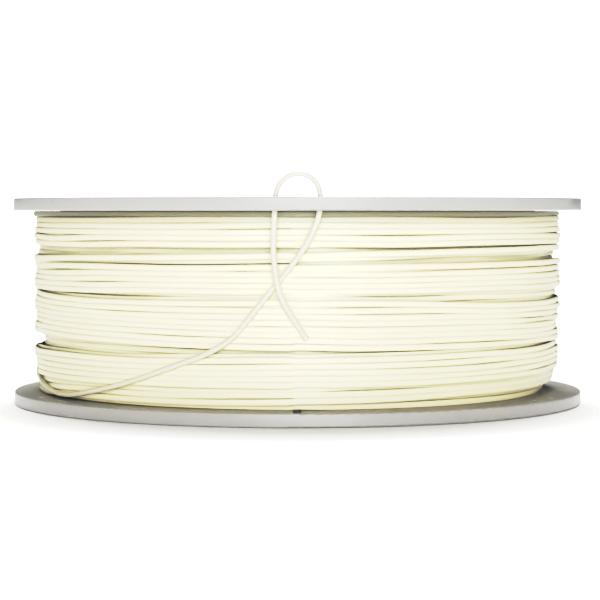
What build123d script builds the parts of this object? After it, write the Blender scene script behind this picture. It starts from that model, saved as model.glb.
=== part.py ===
from build123d import *

# A full spool of 1.75 mm filament, lying flat: a ribbed barrel between two flanges, held by screws, with the
# wound filament on the barrel and its free end tied through the upper flange.
# Millimetres. +Z is the spool's axis, the origin is on the axis at the underside of the lower flange, and
# -Y is the side where the free end is tied.

import os
from math import cos, pi, radians, sin, tan

# Driving dimensions of the spool
flange_diameter = 200.0
spool_width = 71.8
rim_thickness = 4.4
bore_diameter = 52.0
barrel_diameter = 100.0
winding_diameter = 181.0
filament_diameter = 1.75

# Flange
flange_radius = flange_diameter / 2
rim_inner_radius = 89.0
rim_edge_round = 0.5
hub_plate_radius = 54.0
recess_depth = 1.4
flange_rib_count = 12
flange_rib_width = 2.2
seat_depth = 1.0
seat_clearance = 0.2

# Holes near the rim: three long slots that run in under the winding, and three pairs of round holes half
# way between them. Both flanges are the same moulding, one turned over about X, so that a slot of the lower
# one and a pair of the upper one face -Y.
station_count = 3
slot_outer_end = 98.3
slot_length = 14.3
slot_width = 2.6
slot_radius = slot_outer_end - slot_length / 2
tie_radius = 95.5
tie_hole_radius = 1.5
tie_half_spacing = 4.25

# Barrel
inner_width = spool_width - 2 * rim_thickness
bore_radius = bore_diameter / 2
bore_tube_radius = bore_radius + 2.5
bore_chamfer = 0.6
barrel_radius = barrel_diameter / 2
barrel_wall = 2.5
barrel_rib_thickness = 2.0

# Screws, which run through each flange into the bosses of the barrel
screw_count = 6
screw_circle = 38.0
screw_radius = 1.5
screw_length = 14.0
screw_tip_chamfer = 0.7
screw_hole_radius = 1.8
pilot_depth = 16.0
boss_radius = 4.5
head_radius = 3.4
head_height = 1.9
head_sink = 0.3
head_round = 0.7
pocket_radius = 3.9
driver_slot_length = 3.6
driver_slot_width = 0.9
driver_slot_depth = 1.1

# Filament
filament_radius = filament_diameter / 2
winding_radius = winding_diameter / 2
winding_clearance = 0.3
anchor_angle = 90.0
anchor_height = 12.0
anchor_hole_radius = 1.2
anchor_inner_radius = 42.0
anchor_fold_height = 9.0
anchor_bend_radius = 4.0

# Route of the free end: angle about the axis from +X in degrees, distance from the axis, height.
# It leaves the winding behind the left side, comes round low against the lower flange, climbs the front,
# passes up through one tie hole and down through the other, crosses over itself and ends in front of the
# winding.
free_end_route = [
    (147.0, 92.3, 17.9),
    (161.0, 92.2, 16.2),
    (175.0, 92.1, 14.0),
    (188.0, 92.0, 11.3),
    (200.5, 92.1, 7.3),
    (212.0, 92.3, 5.5),
    (223.5, 92.8, 8.3),
    (235.0, 93.1, 12.4),
    (244.6, 93.2, 17.8),
    (251.8, 93.2, 21.8),
    (257.4, 93.1, 27.0),
    (261.0, 93.0, 34.4),
    (263.9, 93.0, 40.3),
    (266.7, 93.0, 45.7),
    (269.2, 93.1, 50.8),
    (271.7, 93.6, 56.6),
    (273.2, 94.6, 61.7),
    (274.25, 95.5, 66.4),
    (274.4, 95.5, 74.7),
    (271.9, 95.5, 79.0),
    (268.5, 95.5, 78.9),
    (265.95, 95.5, 74.6),
    (265.75, 95.5, 66.4),
    (265.55, 95.0, 60.0),
    (265.45, 94.7, 54.2),
    (265.85, 94.9, 48.8),
    (266.25, 94.9, 43.6),
    (267.2, 94.0, 39.0),
    (268.7, 93.3, 34.8),
    (270.3, 93.0, 30.8),
    (271.8, 93.0, 27.2),
]

os.makedirs("parts", exist_ok=True)

# Outer faces of the flanges, each with its normal pointing into the spool
lower_face = Plane.XY
upper_face = Plane(origin=(0, 0, spool_width), x_dir=(1, 0, 0), z_dir=(0, 0, -1))


def save(part, label):
    """Names a finished piece and writes its file."""
    part.label = label
    export_step(part, f"parts/{label}.step")


def circles(builder, radius):
    """The circular edges of this radius."""
    return builder.edges().filter_by(GeomType.CIRCLE).filter_by(lambda e: abs(e.radius - radius) < 0.01)


def faces_on(builder, plane):
    """The faces that lie in a plane."""
    return builder.faces().filter_by(lambda f: abs(plane.to_local_coords(f.center()).Z) < 0.01)


def make_flange(outer_face):
    """A flange whose outer face lies in the given plane, whose normal points at the other flange."""
    recess_middle = (rim_inner_radius + hub_plate_radius) / 2
    recess_width = rim_inner_radius - hub_plate_radius
    with BuildPart() as flange:
        with BuildSketch(outer_face):
            Circle(flange_radius)
            Circle(bore_tube_radius + seat_clearance, mode=Mode.SUBTRACT)
        extrude(amount=rim_thickness)
        fillet(circles(flange, flange_radius), rim_edge_round)
        with BuildSketch(outer_face):
            Circle(rim_inner_radius)
            Circle(hub_plate_radius, mode=Mode.SUBTRACT)
            with PolarLocations(recess_middle, flange_rib_count):
                Rectangle(recess_width + 2, flange_rib_width, mode=Mode.SUBTRACT)
        extrude(amount=recess_depth, mode=Mode.SUBTRACT)
        with BuildSketch(outer_face.offset(rim_thickness - seat_depth)):
            Circle(barrel_radius + seat_clearance)
            Circle(barrel_radius - barrel_wall - seat_clearance, mode=Mode.SUBTRACT)
        extrude(amount=seat_depth, mode=Mode.SUBTRACT)
        with BuildSketch(outer_face):
            with PolarLocations(screw_circle, screw_count):
                Circle(screw_hole_radius)
            with PolarLocations(slot_radius, station_count, start_angle=-90):
                SlotOverall(slot_length, slot_width)
            for side in (-1, 1):
                with PolarLocations(tie_radius, station_count, start_angle=90 + side * tie_half_spacing):
                    Circle(tie_hole_radius)
        extrude(amount=rim_thickness, mode=Mode.SUBTRACT)
        with BuildSketch(outer_face):
            with PolarLocations(screw_circle, screw_count):
                Circle(pocket_radius)
        extrude(amount=head_sink + head_height, mode=Mode.SUBTRACT)
    return flange.part


def make_screws(outer_face):
    """The screws of one flange, a separate solid each."""
    head_face = outer_face.offset(head_sink)
    with BuildPart() as screws:
        with BuildSketch(head_face):
            with PolarLocations(screw_circle, screw_count):
                Circle(head_radius)
        extrude(amount=head_height)
        fillet(faces_on(screws, head_face).edges(), head_round)
        with BuildSketch(head_face.offset(head_height)):
            with PolarLocations(screw_circle, screw_count):
                Circle(screw_radius)
        extrude(amount=screw_length)
        chamfer(faces_on(screws, head_face.offset(head_height + screw_length)).edges(), screw_tip_chamfer)
        with BuildSketch(head_face):
            with PolarLocations(screw_circle, screw_count):
                Rectangle(driver_slot_length, driver_slot_width)
                Rectangle(driver_slot_width, driver_slot_length)
        extrude(amount=driver_slot_depth, mode=Mode.SUBTRACT)
    return screws.part


def make_barrel():
    """Outer wall and bore tube, joined by ribs and screw bosses, in one moulding."""
    rib_inner = bore_tube_radius - 1
    rib_outer = barrel_radius - 1
    with BuildPart() as barrel:
        with BuildSketch():
            Circle(bore_tube_radius)
        extrude(amount=spool_width)
        with BuildSketch(Plane.XY.offset(rim_thickness - seat_depth)):
            Circle(barrel_radius)
            Circle(barrel_radius - barrel_wall, mode=Mode.SUBTRACT)
        extrude(amount=inner_width + 2 * seat_depth)
        with BuildSketch(Plane.XY.offset(rim_thickness)):
            with PolarLocations((rib_inner + rib_outer) / 2, screw_count):
                Rectangle(rib_outer - rib_inner, barrel_rib_thickness)
            with PolarLocations(screw_circle, screw_count):
                Circle(boss_radius)
        extrude(amount=inner_width)
        with BuildSketch():
            Circle(bore_radius)
        extrude(amount=spool_width, mode=Mode.SUBTRACT)
        for end in (lower_face, upper_face):
            with BuildSketch(end.offset(rim_thickness)):
                with PolarLocations(screw_circle, screw_count):
                    Circle(screw_radius)
            extrude(amount=pilot_depth, mode=Mode.SUBTRACT)
        with BuildSketch(anchor_plane(barrel_radius + 1)):
            Circle(anchor_hole_radius)
        extrude(amount=-barrel_wall - 2, mode=Mode.SUBTRACT)
        chamfer(circles(barrel, bore_radius), bore_chamfer)
    return barrel.part


def anchor_plane(distance):
    """A plane facing outwards where the inner end of the filament goes through the barrel's wall."""
    outwards = Vector(cos(radians(anchor_angle)), sin(radians(anchor_angle)), 0)
    return Plane(origin=outwards * distance + Vector(0, 0, anchor_height), x_dir=(0, 0, 1), z_dir=outwards)


def make_winding():
    """The wound filament as one ring, from flange to flange."""
    with BuildPart() as winding:
        with BuildSketch(Plane.XY.offset(rim_thickness)):
            Circle(winding_radius)
            Circle(barrel_radius + winding_clearance, mode=Mode.SUBTRACT)
        extrude(amount=inner_width)
    return winding.part


def sweep_round(path, start, direction):
    """A round tube of the filament's diameter along a path, in its own part."""
    with BuildPart() as tube:
        with BuildLine():
            add(path)
        with BuildSketch(Plane(origin=start, z_dir=direction)):
            Circle(filament_radius)
        sweep()
    return tube.part


def make_inner_end():
    """The start of the filament, pushed through the barrel's wall and folded up behind it."""
    outer = anchor_plane(barrel_radius + winding_clearance).origin
    corner = anchor_plane(anchor_inner_radius).origin
    fold = corner + Vector(0, 0, anchor_fold_height)
    with BuildLine() as line:
        FilletPolyline(outer, corner, fold, radius=anchor_bend_radius)
    return sweep_round(line.line, outer, corner - outer)


def make_free_end():
    """The free end, as straight runs joined by arcs as large as the runs allow."""
    points = [Vector(r * cos(radians(a)), r * sin(radians(a)), z) for a, r, z in free_end_route]
    radii = []
    for before, here, after in zip(points, points[1:], points[2:]):
        turn = radians((here - before).get_angle(after - here))
        shorter = min((here - before).length, (after - here).length)
        radii.append(0.45 * shorter / tan(turn / 2))
    with BuildLine() as line:
        FilletPolyline(*points, radius=radii)
    length = line.wires()[0].length
    tube = sweep_round(line.line, points[0], points[1] - points[0])
    filled = tube.volume / (pi * filament_radius**2 * length)
    print("free end: length", round(length, 1), "and volume over section times length", round(filled, 4))
    print("free end: arc radii", [round(r, 1) for r in radii])
    print("free end: runs", [round((b - a).length, 1) for a, b in zip(points, points[1:])])
    return tube


save(make_flange(lower_face), "lower_flange")
save(make_flange(upper_face), "upper_flange")
save(make_barrel(), "barrel")
save(make_screws(lower_face), "lower_flange_screws")
save(make_screws(upper_face), "upper_flange_screws")
save(make_winding(), "filament_winding")
save(make_inner_end(), "filament_inner_end")
save(make_free_end(), "filament_free_end")
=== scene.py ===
import math

import bmesh
import bpy
import numpy as np
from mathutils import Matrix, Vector


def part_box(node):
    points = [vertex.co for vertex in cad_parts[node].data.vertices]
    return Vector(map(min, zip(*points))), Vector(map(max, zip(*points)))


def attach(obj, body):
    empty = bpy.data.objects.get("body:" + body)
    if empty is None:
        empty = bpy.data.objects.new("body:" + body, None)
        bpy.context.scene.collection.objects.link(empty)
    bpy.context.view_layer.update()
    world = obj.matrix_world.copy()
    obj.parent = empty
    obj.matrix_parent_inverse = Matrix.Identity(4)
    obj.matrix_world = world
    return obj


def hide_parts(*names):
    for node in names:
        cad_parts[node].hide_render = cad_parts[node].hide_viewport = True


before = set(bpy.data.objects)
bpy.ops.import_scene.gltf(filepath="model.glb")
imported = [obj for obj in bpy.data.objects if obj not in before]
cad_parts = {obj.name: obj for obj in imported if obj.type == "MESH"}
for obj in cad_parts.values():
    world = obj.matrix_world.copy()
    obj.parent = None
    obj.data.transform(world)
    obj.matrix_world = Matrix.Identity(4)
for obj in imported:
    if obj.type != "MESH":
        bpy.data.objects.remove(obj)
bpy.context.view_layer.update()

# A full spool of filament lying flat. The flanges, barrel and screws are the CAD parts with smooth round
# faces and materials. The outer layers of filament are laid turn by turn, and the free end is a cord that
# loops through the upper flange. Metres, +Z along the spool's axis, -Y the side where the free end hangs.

MM = 0.001
scene = bpy.context.scene

# Sizes read from the frame
ring_low, ring_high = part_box("filament_winding")
FLOOR_OF_WINDING = ring_low.z
TOP_OF_WINDING = ring_high.z
BARREL_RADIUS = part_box("barrel")[1].x

# Filament
FILAMENT = 1.75 * MM
HALF = FILAMENT / 2
WOUND_HALF = 1.04 * MM          # half the height of a wound strand, enough to touch its neighbours

# Route of the free end: angle about the axis from +X in degrees, distance from the axis, height
FREE_END_ROUTE = [
    (147.0, 0.0923, 0.0179),
    (161.0, 0.0922, 0.0162),
    (175.0, 0.0921, 0.0140),
    (188.0, 0.0920, 0.0113),
    (200.5, 0.0921, 0.0073),
    (212.0, 0.0923, 0.0055),
    (223.5, 0.0928, 0.0083),
    (235.0, 0.0931, 0.0124),
    (244.6, 0.0932, 0.0178),
    (251.8, 0.0932, 0.0218),
    (257.4, 0.0931, 0.0270),
    (261.0, 0.0930, 0.0344),
    (263.9, 0.0930, 0.0403),
    (266.7, 0.0930, 0.0457),
    (269.2, 0.0931, 0.0508),
    (271.7, 0.0936, 0.0566),
    (273.2, 0.0946, 0.0617),
    (274.25, 0.0955, 0.0664),
    (274.4, 0.0955, 0.0747),
    (271.9, 0.0955, 0.0790),
    (268.5, 0.0955, 0.0789),
    (265.95, 0.0955, 0.0746),
    (265.75, 0.0955, 0.0664),
    (265.55, 0.0950, 0.0600),
    (265.45, 0.0947, 0.0542),
    (265.85, 0.0949, 0.0488),
    (266.25, 0.0949, 0.0436),
    (267.2, 0.0940, 0.0390),
    (268.7, 0.0933, 0.0348),
    (270.3, 0.0930, 0.0308),
    (271.8, 0.0930, 0.0272),
]


# ---------------------------------------------------------------- camera

CAMERA_PLACE = (0.85 * MM, -770 * MM, 67.4 * MM)
CAMERA_TILT = 2.36              # degrees below level


def make_camera():
    """A long lens at the height of the upper flange, tilted a little down, in front of the free end."""
    camera = bpy.data.cameras.new("camera")
    camera.lens = 129.9
    camera.clip_end = 20
    holder = bpy.data.objects.new("camera", camera)
    holder.location = CAMERA_PLACE
    holder.rotation_euler = (math.radians(90 - CAMERA_TILT), 0, 0)
    scene.collection.objects.link(holder)
    scene.camera = holder


# ---------------------------------------------------------------- shader maths

class Value:
    """A socket that carries a number, with the arithmetic that a person would write."""

    def __init__(self, shader, socket):
        self.shader = shader
        self.socket = socket

    def maths(self, operation, *others):
        return self.shader.node("ShaderNodeMath", {"operation": operation}, [self, *others])

    def __add__(self, other):
        return self.maths("ADD", other)

    __radd__ = __add__

    def __mul__(self, other):
        return self.maths("MULTIPLY", other)

    __rmul__ = __mul__

    def __sub__(self, other):
        return self.maths("SUBTRACT", other)

    def __rsub__(self, other):
        return self.shader.node("ShaderNodeMath", {"operation": "SUBTRACT"}, [other, self])

    def __pow__(self, other):
        return self.maths("POWER", other)

    def clamp(self):
        return self.shader.node("ShaderNodeClamp", {}, {"Value": self})


class Nodes:
    """A node tree that is built up node by node."""

    def __init__(self, tree):
        self.tree = tree

    def node(self, kind, settings, inputs, output=0):
        """Adds a node, sets it up, joins or fills its inputs, and returns one output."""
        made = self.tree.nodes.new(kind)
        for name, value in settings.items():
            setattr(made, name, value)
        for key, value in (inputs.items() if isinstance(inputs, dict) else enumerate(inputs)):
            self.feed(made.inputs[key], value)
        return Value(self, made.outputs[output])

    def feed(self, socket, value):
        if isinstance(value, Value):
            self.tree.links.new(value.socket, socket)
        else:
            socket.default_value = value


class Shader(Nodes):
    """A Principled material."""

    def __init__(self, name, **constants):
        self.material = bpy.data.materials.new(name)
        self.material.use_nodes = True
        super().__init__(self.material.node_tree)
        self.surface = self.tree.nodes["Principled BSDF"]
        for socket, value in constants.items():
            self.surface.inputs[socket.replace("_", " ")].default_value = value

    def set(self, name, value):
        self.feed(self.surface.inputs[name], value)

    def place(self):
        return self.node("ShaderNodeTexCoord", {}, {}, "Object")

    def attribute(self, name):
        return self.node("ShaderNodeAttribute", {"attribute_name": name}, {}, "Fac")

    def noise(self, vector, scale, detail=2.0, roughness=0.5):
        return self.node(
            "ShaderNodeTexNoise", {},
            {"Vector": vector, "Scale": scale, "Detail": detail, "Roughness": roughness}, "Fac",
        )

    def stretch(self, vector, scale):
        return self.node("ShaderNodeMapping", {}, {"Vector": vector, "Scale": scale}, "Vector")

    def mix(self, factor, first, second):
        """Two colours mixed by a factor. Sockets 6 and 7 and output 2 are the node's colours."""
        return self.node(
            "ShaderNodeMix", {"data_type": "RGBA", "clamp_factor": True},
            {0: factor, 6: first, 7: second}, 2,
        )

    def vector(self, operation, *vectors):
        return self.node("ShaderNodeVectorMath", {"operation": operation}, vectors, "Vector")

    def blend(self, factor, first, second):
        """Two vectors mixed by a factor. Sockets 4 and 5 and output 1 are the node's vectors."""
        return self.node("ShaderNodeMix", {"data_type": "VECTOR"}, {0: factor, 4: first, 5: second}, 1)

    def bump(self, height, distance, strength=1.0):
        return self.node(
            "ShaderNodeBump", {},
            {"Height": height, "Distance": distance, "Strength": strength}, "Normal",
        )


# ---------------------------------------------------------------- materials

IVORY_LIGHT = (0.865, 0.81, 0.54, 1)
IVORY_DEEP = (0.81, 0.75, 0.49, 1)
# ivory darkened as a painted shade under the upper flange's overhang
IVORY_IN_PAINTED_SHADE = (0.28, 0.275, 0.205, 1)
# the free end's ivory is the wound ivory made darker: painted shade for a lone strand that scatters less
# light
STRAND_LIGHT = (0.71, 0.68, 0.54, 1)
STRAND_DEEP = (0.66, 0.63, 0.49, 1)
GREY_LIGHT = (0.405, 0.40, 0.387, 1)
GREY_DARK = (0.36, 0.355, 0.342, 1)
ZINC_LIGHT = (0.68, 0.68, 0.66, 1)
ZINC_DARK = (0.50, 0.50, 0.48, 1)
FLATNESS = 0.9                  # of the wound strands' shading


def ivory_filament(name, light, deep, flatness):
    """Satin natural plastic: slow changes of tone along the strand and fine marks of the extruder.

    Light that spreads inside the strands evens out their round backs, so the shading normal leans, by the
    share given as flatness, towards straight out from the spool's axis. Towards the upper flange the ivory
    is
    darkened to olive grey: painted shade of the flange's overhang."""
    shader = Shader(name, IOR=1.46)
    along = shader.stretch(shader.place(), (1, 1, 6))
    tone = shader.noise(along, scale=45, detail=3)
    fine = shader.noise(along, scale=420, detail=2)
    ivory = shader.mix(tone, deep, light)
    # painted shade: the base colour turns to olive grey where the attribute says the upper flange shades the
    # strand
    shader.set("Base Color", shader.mix(shader.attribute("painted_flange_shade"), ivory, IVORY_IN_PAINTED_SHADE))
    shader.set("Roughness", 0.34 + 0.14 * fine)
    bumped = shader.bump(fine, distance=0.06 * MM, strength=0.5)
    if flatness:
        outward = shader.vector("NORMALIZE", shader.stretch(shader.place(), (1, 1, 0)))
        bumped = shader.vector("NORMALIZE", shader.blend(flatness, bumped, outward))
    shader.set("Normal", bumped)
    return shader.material


def spool_plastic():
    """Light grey moulded plastic with a faint flow mottle and a fine moulding grain."""
    shader = Shader("spool_plastic", IOR=1.48)
    place = shader.place()
    flow = shader.noise(place, scale=18, detail=4, roughness=0.6)
    grain = shader.noise(place, scale=900, detail=2)
    shader.set("Base Color", shader.mix(flow, GREY_DARK, GREY_LIGHT))
    shader.set("Roughness", 0.28 + 0.12 * flow + 0.06 * grain)
    shader.set("Normal", shader.bump(grain, distance=0.04 * MM, strength=0.35))
    return shader.material


def screw_steel():
    """Zinc plated steel, slightly blotched."""
    shader = Shader("screw_steel", Metallic=1.0)
    blotch = shader.noise(shader.place(), scale=260, detail=3)
    shader.set("Base Color", shader.mix(blotch, ZINC_DARK, ZINC_LIGHT))
    shader.set("Roughness", 0.26 + 0.2 * blotch)
    return shader.material


# ---------------------------------------------------------------- the free end

def polar(angle, radius, height):
    """Points at these angles (radians), distances from the axis and heights, as an array of x, y, z."""
    return np.stack([radius * np.cos(angle), radius * np.sin(angle), height], -1)


def route_curve(name, bevel):
    """A curve of one smooth spline whose control points are the free end's route."""
    curve = bpy.data.curves.new(name, "CURVE")
    curve.dimensions = "3D"
    curve.bevel_depth = bevel
    curve.bevel_resolution = 4
    curve.resolution_u = 10
    curve.use_fill_caps = True
    spline = curve.splines.new("NURBS")
    spline.points.add(len(FREE_END_ROUTE) - 1)
    for point, (angle, radius, height) in zip(spline.points, FREE_END_ROUTE):
        point.co = (*polar(math.radians(angle), radius, height), 1)
    spline.order_u = 3
    spline.use_endpoint_u = True
    return curve


def make_free_end(material):
    """The free end as a cord along its route."""
    curve = route_curve("filament_free_end_line", HALF)
    curve.materials.append(material)
    strand = bpy.data.objects.new("free_end_of_filament", curve)
    scene.collection.objects.link(strand)
    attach(strand, "root")
    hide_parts("filament_free_end")
    start = polar(math.radians(FREE_END_ROUTE[0][0]), *FREE_END_ROUTE[0][1:])


def free_end_line():
    """Angle, distance from the axis and height of points along the free end's spline."""
    holder = bpy.data.objects.new("line", route_curve("line", 0))
    mesh = bpy.data.meshes.new_from_object(holder)
    line = np.array([vertex.co for vertex in mesh.vertices])
    bpy.data.objects.remove(holder)
    bpy.data.meshes.remove(mesh)
    angle = np.arctan2(line[:, 1], line[:, 0]) % (2 * np.pi)
    return angle, np.hypot(line[:, 0], line[:, 1]), line[:, 2]


# ---------------------------------------------------------------- laying the turns

STEPS = 240                     # samples round one turn
ROW = 0.125 * MM                # height of one row of the surface that the turns are laid on
LEVEL = np.arange(FLOOR_OF_WINDING, TOP_OF_WINDING, ROW) + ROW / 2
REACH = int(HALF / ROW)         # rows above and below a strand's middle that it touches
LOWEST_TURN = FLOOR_OF_WINDING + WOUND_HALF
HIGHEST_TURN = TOP_OF_WINDING - WOUND_HALF

STRETCH = STEPS // 4            # samples laid at a time
LOOK = 14                       # samples by which a stretch looks back and ahead
BLEND = 8                       # samples over which a stretch takes over from the one before
SPREAD = 2                      # samples each side over which a stiff strand bridges what it rests on
STIFFNESS = 2.2                 # samples over which its radius is smoothed
JOIN = 30                       # samples over which one layer climbs onto the next
TRIES = 9                       # heights tried on the way into a groove
SLIP_COST = 0.25                # a slip has to lower the strand by this share of itself
SLIP_WIDTH = 4                  # samples over which the chosen heights are smoothed

FULLEST = 92.6 * MM             # radius that the last turns stay within, on average
WAVE = 0.4 * MM                 # and how far that radius wavers up the winding
WAVE_RISE = 1.3 * MM            # and the height over which it wavers by one radian
TOP_TURN = 93.5 * MM            # and that radius for the turn against the upper flange
TOP_TURN_DEPTH = 1.3 * MM       # and how far that turn's middle may lie below the flange
CLEARANCE = 0.03 * MM           # room left between the turns and the free end
CORE_RADIUS = 85.1 * MM         # what the first layer lies on, where it is even


def smooth(values, width):
    """A running mean, weighted by a bell of this width in samples."""
    half = int(3 * width)
    bell = np.exp(-0.5 * (np.arange(-half, half + 1) / width) ** 2)
    padded = np.pad(values, half, mode="edge")
    return np.convolve(padded, bell / bell.sum(), "valid")


def rows_near(height):
    """For each height, the rows that a strand there touches, and the height of each above its middle."""
    middle = np.clip(((height - FLOOR_OF_WINDING) / ROW).astype(int), 0, len(LEVEL) - 1)
    rows = np.clip(middle[:, None] + np.arange(-REACH, REACH + 1), 0, len(LEVEL) - 1)
    return rows, LEVEL[rows] - height[:, None]


def arc(offset):
    """How far a strand's surface stands out from its middle, at this height above it."""
    return np.sqrt(np.maximum(HALF**2 - offset**2, 0))


def resting_radius(surface, columns, height):
    """The smallest radius at which a strand at this height clears the surface below it."""
    rows, offset = rows_near(height)
    touching = np.abs(offset) < HALF
    return np.where(touching, surface[columns[:, None], rows] + arc(offset), 0).max(1)


def settle(surface, columns, height, slip):
    """Moves a strand's heights towards the nearest groove, by at most slip."""
    moves = np.linspace(-slip, slip, TRIES)
    tried = [np.clip(height + move, LOWEST_TURN, HIGHEST_TURN) for move in moves]
    radii = np.stack([resting_radius(surface, columns, level) for level in tried])
    cost = radii + SLIP_COST * np.abs(moves)[:, None]
    return np.clip(height + smooth(moves[cost.argmin(0)], SLIP_WIDTH), LOWEST_TURN, HIGHEST_TURN)


def keep_under(cap, columns, height):
    """The largest radius that leaves room for the free end over a strand at this height."""
    rows, _ = rows_near(height)
    return cap[columns, rows[:, REACH]]


def lay(surface, cap, height, begin, slip):
    """Lays a strand whose height is given at every sample, from sample number begin.

    Returns its radius and height. A stretch first slips into a groove, then rests on the highest thing under
    it, then is smoothed along its length as a stiff strand under tension would be. The surface grows by the
    strand's round back."""
    total = len(height)
    height = height.copy()
    radius = np.zeros(total)
    for start in range(0, total, STRETCH):
        first, last = max(start - LOOK, 0), min(start + STRETCH + LOOK, total)
        ahead = np.arange(first, last)
        columns = (begin + ahead) % STEPS
        wanted = settle(surface, columns, height[ahead], slip)
        fresh = ahead >= start
        blend = np.clip((ahead - start) / BLEND, 0, 1)
        jump = height[start - 1] - wanted[max(start - 1 - first, 0)] if start else 0.0
        wanted = np.where(fresh, wanted + jump * (1 - blend), height[ahead])
        rest = resting_radius(surface, columns, wanted)
        rest = np.minimum(rest, keep_under(cap, columns, wanted))
        lifted = np.maximum.reduce([np.roll(rest, shift) for shift in range(-SPREAD, SPREAD + 1)])
        lifted[:SPREAD], lifted[-SPREAD:] = rest[:SPREAD], rest[-SPREAD:]
        joined = np.where(fresh, lifted, radius[ahead])
        eased = smooth(joined, STIFFNESS)
        done = fresh & (ahead < start + STRETCH)
        radius[ahead[done]] = eased[done]
        height[ahead[done]] = wanted[done]
        rows, offset = rows_near(wanted[done])
        back = radius[ahead[done]][:, None] + arc(offset)
        back = np.where(np.abs(offset) < HALF, back, 0)
        np.maximum.at(surface, (np.repeat(columns[done], rows.shape[1]), rows.ravel()), back.ravel())
    return radius, height


WANDER_WIDTH = 0.35 * STEPS     # samples over which the speed up the winding wanders
LEAST_SPEED = 0.05              # and its least value, as a share of the mean
WAVER_WIDTH = 6                 # samples over which a height wavers
UNEVENNESS = 0.1 * MM           # and by how much
CORNER_WIDTH = 0.05 * STEPS     # samples over which a change of slope is rounded
EVEN_OUT = 3.5                  # about twice the root of pi, which undoes what smoothing takes from noise


def slow_noise(seed, count, width):
    """Random numbers smoothed over this width in samples, and brought back to a spread of about one."""
    return smooth(np.random.default_rng(seed).normal(size=count), width) * np.sqrt(width * EVEN_OUT)


def traverse(turns, start, end, wander, seed):
    """Heights of a strand that crosses the winding in this many turns, at a speed that wanders."""
    speed = 1 + wander * slow_noise(seed, turns * STEPS + 1, WANDER_WIDTH)
    progress = np.cumsum(np.maximum(speed, LEAST_SPEED))
    progress = (progress - progress[0]) / (progress[-1] - progress[0])
    return start + (end - start) * progress


def side_to_side(left, right, end, seed):
    """Heights of a strand whose turns pass these runs of heights on the left and right, with a slight waver.

    Between the two sides of a turn the height changes evenly. The strand ends at this turn and height."""
    at_left = np.concatenate([np.linspace(*run) for run in left])
    at_right = np.concatenate([np.linspace(*run) for run in right])
    turns = np.arange(len(at_left))
    places = np.concatenate([[0], np.stack([turns + 0.5, turns + 1], -1).ravel(), [end[0]]])
    heights = np.concatenate([[at_left[0]], np.stack([at_left, at_right], -1).ravel(), [end[1]]]) * MM
    count = round(end[0] * STEPS) + 1
    path = FLOOR_OF_WINDING + smooth(np.interp(np.arange(count) / STEPS, places, heights), CORNER_WIDTH)
    return path + UNEVENNESS * slow_noise(seed, count, WAVER_WIDTH)


SIDES = 10                      # faces round a strand's section
# These two set a painted shade: strands near the upper flange are darkened in their base colour
SHADE_START = 1.2 * HALF        # how far below the upper flange a strand's middle is fully in its shade
SHADE_DEPTH = 2.2 * MM          # and the height over which the shade fades to a third


def strand_mesh(name, angle, radius, height):
    """A wound strand as a grid: round its section in one direction, and along its path in the other.

    A vertex is the path's point, plus half the strand's width times the cos of its place in the section
    outwards, plus half the strand's height times the sin of it upwards. The two ends are closed by one face
    each. The attribute is a painted shade under the upper flange: one against it, and below it an
    exponential of the distance."""
    around = np.linspace(0, 2 * np.pi, SIDES, endpoint=False)
    out = radius[:, None] + HALF * np.cos(around)
    up = height[:, None] + WOUND_HALF * np.sin(around)
    places = polar(np.broadcast_to(angle[:, None], out.shape), out, up).reshape(-1, 3)
    ring = np.arange(SIDES)
    row = np.arange(len(angle) - 1)[:, None] * SIDES
    here, beside = row + ring, row + (ring + 1) % SIDES
    sheet = np.stack([here, here + SIDES, beside + SIDES, beside], -1).reshape(-1, 4)
    last = (len(angle) - 1) * SIDES
    mesh = bpy.data.meshes.new(name)
    mesh.from_pydata(places, [], [*sheet.tolist(), ring.tolist(), (last + ring[::-1]).tolist()])
    mesh.shade_smooth()
    # painted shade: how strongly the base colour is darkened towards the upper flange, which shades the
    # strands
    near = np.exp(-np.maximum(TOP_OF_WINDING - SHADE_START - height, 0) / SHADE_DEPTH)
    touching = mesh.attributes.new("painted_flange_shade", "FLOAT", "POINT")
    touching.data.foreach_set("value", np.repeat(near, SIDES))
    return mesh


def add_piece(mesh, material, slot, *nodes):
    """Shows a mesh as a piece of the spool, in the place of these CAD nodes."""
    mesh.materials.append(material)
    piece = bpy.data.objects.new(mesh.name, mesh)
    scene.collection.objects.link(piece)
    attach(piece, "root")
    if nodes:
        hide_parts(*nodes)


def room_for_free_end():
    """For each sample and row, the largest radius that a strand's middle may have.

    Away from the free end it is a mean plus a sine of the height, shifted by twice the sine of the angle.
    Beside the free end it leaves one diameter and the clearance between the two middles, and it does so
    over the samples that a strand bridges too."""
    around = np.linspace(0, 2 * np.pi, STEPS, endpoint=False)[:, None]
    cap = FULLEST - HALF + WAVE * np.sin(LEVEL / WAVE_RISE + 2 * np.sin(around))
    cap[:, LEVEL > TOP_OF_WINDING - TOP_TURN_DEPTH] = TOP_TURN - HALF
    angle, radius, height = free_end_line()
    columns = np.round(angle / (2 * np.pi) * STEPS).astype(int)
    for column, out, level in zip(columns, radius, height):
        gap = np.maximum(FILAMENT**2 - (LEVEL - level) ** 2, 0)
        limit = np.where(gap > 0, out - np.sqrt(gap) - CLEARANCE, FULLEST)
        for near in range(-SPREAD, SPREAD + 1):
            at = (column + near) % STEPS
            cap[at] = np.minimum(cap[at], limit)
    return cap


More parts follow.
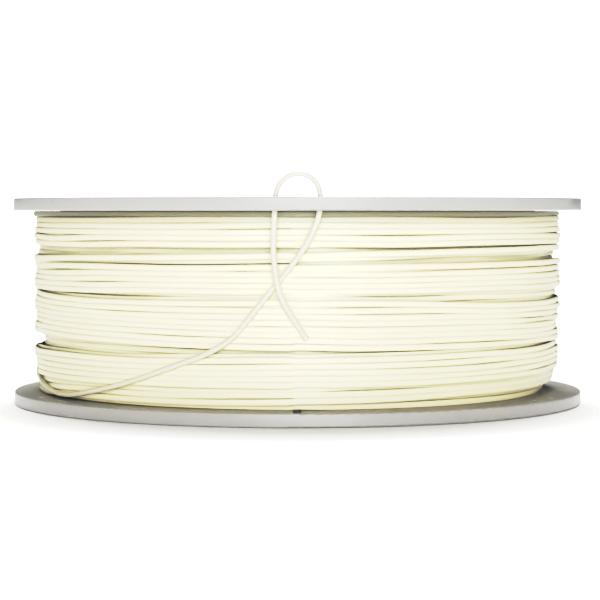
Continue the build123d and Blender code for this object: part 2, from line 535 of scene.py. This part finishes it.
# Heights in mm above the lower flange at which the last two layers pass the left and right sides, as runs
# of turns: the first one, the last one, and how many. The gaps between runs show the layer beneath. An end
# is the turn and the height at which a layer ends.
THIRD_AT_LEFT = [(1.1, 15.0, 8), (21.4, 45.6, 14), (52.2, 61.9, 6)]
THIRD_AT_RIGHT = [(4.6, 44.8, 21), (50.4, 61.9, 7)]
THIRD_END = (28.0, 61.9)
LAST_AT_LEFT = [(62.1, 52.4, 6), (46.0, 22.0, 14), (14.8, 7.6, 5)]
LAST_AT_RIGHT = [(62.0, 50.9, 7), (45.4, 38.2, 5), (32.0, 9.4, 13)]
LAST_END = (25.408, 13.5)

# Where the layers beneath are uneven: the angle and height of the middle, the half widths, and how far it
# stands out, in degrees and mm. The left side stands out near the lower flange, where the right falls away.
SWELLINGS = [
    (218, 2, 35, 5, 1.0),
    (185, 48, 20, 2, -0.8),
    (345, 4, 32, 5, -1.3),
    (355, 21, 26, 8, -2.6),
    (300, 20, 40, 6, -0.4),
]


def uneven_core():
    """Radius of what the first layer lies on: an even one, plus a bell for each swelling in the list."""
    around = np.arange(STEPS)[:, None] * 360 / STEPS
    up = (LEVEL - FLOOR_OF_WINDING) / MM
    core = np.full((STEPS, len(LEVEL)), CORE_RADIUS)
    for angle, height, wide, tall, out in SWELLINGS:
        away = (around - angle + 180) % 360 - 180
        core += out * MM * np.exp(-((away / wide) ** 2) - ((up - height) / tall) ** 2)
    return core


def lead_in(values, first, away):
    """Values that start from first and reach their own course over the join, in an even blend.

    Each value's place in the join is how many samples away from the start it is."""
    share = np.clip(away / JOIN, 0, 1)
    return first * (1 - share) + values * share


def make_winding(material):
    """The outer layers as one strand, turn by turn, over a ring that stands for the layers under them.

    A layer is its name, the heights that it wants, and how far a strand may slip into a groove."""
    cap = room_for_free_end()
    surface = uneven_core()
    layers = [
        ("turns_first", traverse(35, LOWEST_TURN, HIGHEST_TURN, wander=0.0, seed=1), 0.2 * MM),
        ("turns_second", traverse(34, HIGHEST_TURN, LOWEST_TURN, wander=0.04, seed=2), 0.5 * MM),
        ("turns_third", side_to_side(THIRD_AT_LEFT, THIRD_AT_RIGHT, THIRD_END, seed=3), 0.5 * MM),
        ("turns_last", side_to_side(LAST_AT_LEFT, LAST_AT_RIGHT, LAST_END, seed=4), 0.4 * MM),
    ]
    _, free_radius, free_height = FREE_END_ROUTE[0]
    begin = 0
    for name, wanted, slip in layers:
        radius, height = lay(surface, cap, wanted, begin, slip)
        samples = np.arange(len(wanted))
        if begin:
            radius = lead_in(radius, last_radius, samples)
            height = lead_in(height, last_height, samples)
        if name == "turns_last":
            radius = lead_in(radius, free_radius, samples[::-1])
            height = lead_in(height, free_height, samples[::-1])
        angle = (begin + samples) * 2 * np.pi / STEPS
        add_piece(strand_mesh(name, angle, radius, height), material, "filament", "filament_winding")
        begin += len(wanted) - 1
        last_radius, last_height = radius[-1], height[-1]


BENEATH_TURNS = 36              # turns shown on the ring beneath
BENEATH_SAMPLES = 8             # points up each of them
BENEATH_AROUND = 160            # and points round the ring
BENEATH_RADIUS = 83.7 * MM      # radius of its grooves
BENEATH_RIPPLE = 0.6 * MM       # and how far the turns stand out of them
BARREL_GAP = 0.3 * MM           # room left round the barrel


def make_core(material):
    """The layers under the ones laid turn by turn, as one closed ring, clear of the barrel.

    It is a surface of revolution. Its outer radius is the grooves' plus the ripple times the absolute sine
    of pi for each turn up the winding. Its inner radius is the barrel's plus a gap."""
    rise = np.linspace(0, 1, BENEATH_TURNS * BENEATH_SAMPLES + 1)
    height = FLOOR_OF_WINDING + (TOP_OF_WINDING - FLOOR_OF_WINDING) * rise
    outer = BENEATH_RADIUS + BENEATH_RIPPLE * np.abs(np.sin(np.pi * BENEATH_TURNS * rise))
    inner = np.full(2, BARREL_RADIUS + BARREL_GAP)
    profile_out = np.concatenate([outer, inner])
    profile_up = np.concatenate([height, [TOP_OF_WINDING, FLOOR_OF_WINDING]])
    angle = np.linspace(0, 2 * np.pi, BENEATH_AROUND, endpoint=False)[:, None]
    places = polar(*np.broadcast_arrays(angle, profile_out, profile_up))
    count = len(profile_out)
    step, point = np.arange(BENEATH_AROUND)[:, None], np.arange(count)
    next_step, next_point = (step + 1) % BENEATH_AROUND, (point + 1) % count
    here = step * count + point
    up = step * count + next_point
    over = next_step * count + next_point
    beside = next_step * count + point
    faces = np.stack([here, beside, over, up], -1).reshape(-1, 4)
    mesh = bpy.data.meshes.new("turns_beneath")
    mesh.from_pydata(places.reshape(-1, 3), [], faces.tolist())
    mesh.shade_smooth()
    add_piece(mesh, material, "filament")


# ---------------------------------------------------------------- the moulded parts

SAME_POINT = 0.001 * MM         # vertices nearer than this are one
SHARP = math.radians(25)        # faces that meet at more than this keep a crisp edge


def finish_part(node, material):
    """A copy of a CAD part with merged vertices, smooth round faces and crisp edges."""
    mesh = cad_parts[node].data.copy()
    mesh.name = node + "_finished"
    mesh.materials.clear()
    piece = bpy.data.objects.new(node + "_finished", mesh)
    scene.collection.objects.link(piece)
    work = bmesh.new()
    work.from_mesh(mesh)
    bmesh.ops.remove_doubles(work, verts=work.verts, dist=SAME_POINT)
    for face in work.faces:
        face.smooth = True
    for side in work.edges:
        side.smooth = len(side.link_faces) == 2 and side.calc_face_angle(0) < SHARP
    work.to_mesh(mesh)
    work.free()
    mesh.materials.append(material)
    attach(piece, "root")
    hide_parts(node)


# ---------------------------------------------------------------- stage

FLOOR_SIDE = 6.0                # half the floor's width
FLOOR_DROP = 0.2 * MM           # how far it lies under the lower flange

SIDE_LIGHT = 0.06               # the sky's strength all round
LEFT_LIGHT = 0.08               # and what the left adds
TOP_LIGHT = 0.05                # and what the top adds
BEHIND_DARK = 0.85              # and the share that is missing straight behind
BEHIND_FOCUS = 8                # and how sharply the dark keeps to there
BACKDROP = 3                    # the strength that the camera sees

# The lamps: name, the way the light goes, strength, and width in degrees
LAMPS = [
    ("front", (-0.05, 1, -0.16), 2.8, 42),
    ("overhead", (0, -0.45, -1), 3.5, 34),
]

# The exposure: light on the left, shown brightness on the right, up to this most light
MOST_LIGHT = 2
EXPOSURE = [
    (0.1, 0.08), (0.2, 0.2), (0.3, 0.4), (0.42, 0.63), (0.6, 0.8), (0.8, 0.885), (0.95, 0.94), (1.1, 1.0),
]


def make_floor():
    """A plain white floor that glows faintly, so that it stays white in shade."""
    floor = bpy.data.meshes.new("floor")
    corners = [(-1, -1), (1, -1), (1, 1), (-1, 1)]
    floor.from_pydata([(x * FLOOR_SIDE, y * FLOOR_SIDE, 0) for x, y in corners], [], [(0, 1, 2, 3)])
    shader = Shader(
        "floor", Roughness=1.0, Specular_IOR_Level=0.0,
        Emission_Color=(1, 1, 1, 1), Emission_Strength=0.05,
    )
    shader.set("Base Color", (0.96, 0.96, 0.96, 1))
    floor.materials.append(shader.material)
    ground = bpy.data.objects.new("floor", floor)
    ground.location.z = -FLOOR_DROP
    scene.collection.objects.link(ground)


def make_light():
    """Wide soft lamps in front and overhead, in a dim sky that is brighter on the left and dark behind."""
    world = bpy.data.worlds.new("sky")
    world.use_nodes = True
    scene.world = world
    sky = Nodes(world.node_tree)
    background = world.node_tree.nodes["Background"]
    direction = sky.node("ShaderNodeTexCoord", {}, {}, "Generated")
    x, y, z = (sky.node("ShaderNodeSeparateXYZ", {}, {0: direction}, axis) for axis in "XYZ")
    dark_card = y.clamp() ** BEHIND_FOCUS
    around = SIDE_LIGHT + LEFT_LIGHT * (0 - x).clamp() + TOP_LIGHT * z.clamp()
    light = around * (1 - BEHIND_DARK * dark_card)
    seen = sky.node("ShaderNodeLightPath", {}, {}, "Is Camera Ray")
    sky.feed(background.inputs["Color"], (1, 1, 1, 1))
    sky.feed(background.inputs["Strength"], seen * BACKDROP + (1 - seen) * light)

    for name, aim, energy, spread in LAMPS:
        lamp = bpy.data.lights.new(name, "SUN")
        lamp.energy = energy
        lamp.angle = math.radians(spread)
        holder = bpy.data.objects.new(name, lamp)
        holder.rotation_euler = Vector(aim).to_track_quat("-Z", "Y").to_euler()
        scene.collection.objects.link(holder)


def set_exposure():
    """A bright exposure whose highlights roll off."""
    scene.view_settings.view_transform = "Standard"
    scene.view_settings.use_curve_mapping = True
    mapping = scene.view_settings.curve_mapping
    mapping.white_level = (MOST_LIGHT, MOST_LIGHT, MOST_LIGHT)
    shoulder = mapping.curves[3]
    for light, shown in EXPOSURE:
        shoulder.points.new(light / MOST_LIGHT, shown)
    for point in shoulder.points:
        point.handle_type = "AUTO_CLAMPED"
    mapping.update()


# ---------------------------------------------------------------- the spool

make_camera()
set_exposure()
# the free end's material is a darker copy of the wound ivory, painted shade for a lone strand
ivory = ivory_filament("ivory_strand", STRAND_LIGHT, STRAND_DEEP, 0)
wound_ivory = ivory_filament("ivory_wound", IVORY_LIGHT, IVORY_DEEP, FLATNESS)
make_free_end(ivory)
make_winding(wound_ivory)
make_core(wound_ivory)
plastic = spool_plastic()
for part in ("lower_flange", "upper_flange", "barrel"):
    finish_part(part, plastic)
steel = screw_steel()
for part in ("lower_flange_screws", "upper_flange_screws"):
    finish_part(part, steel)
finish_part("filament_inner_end", ivory)
make_floor()
make_light()
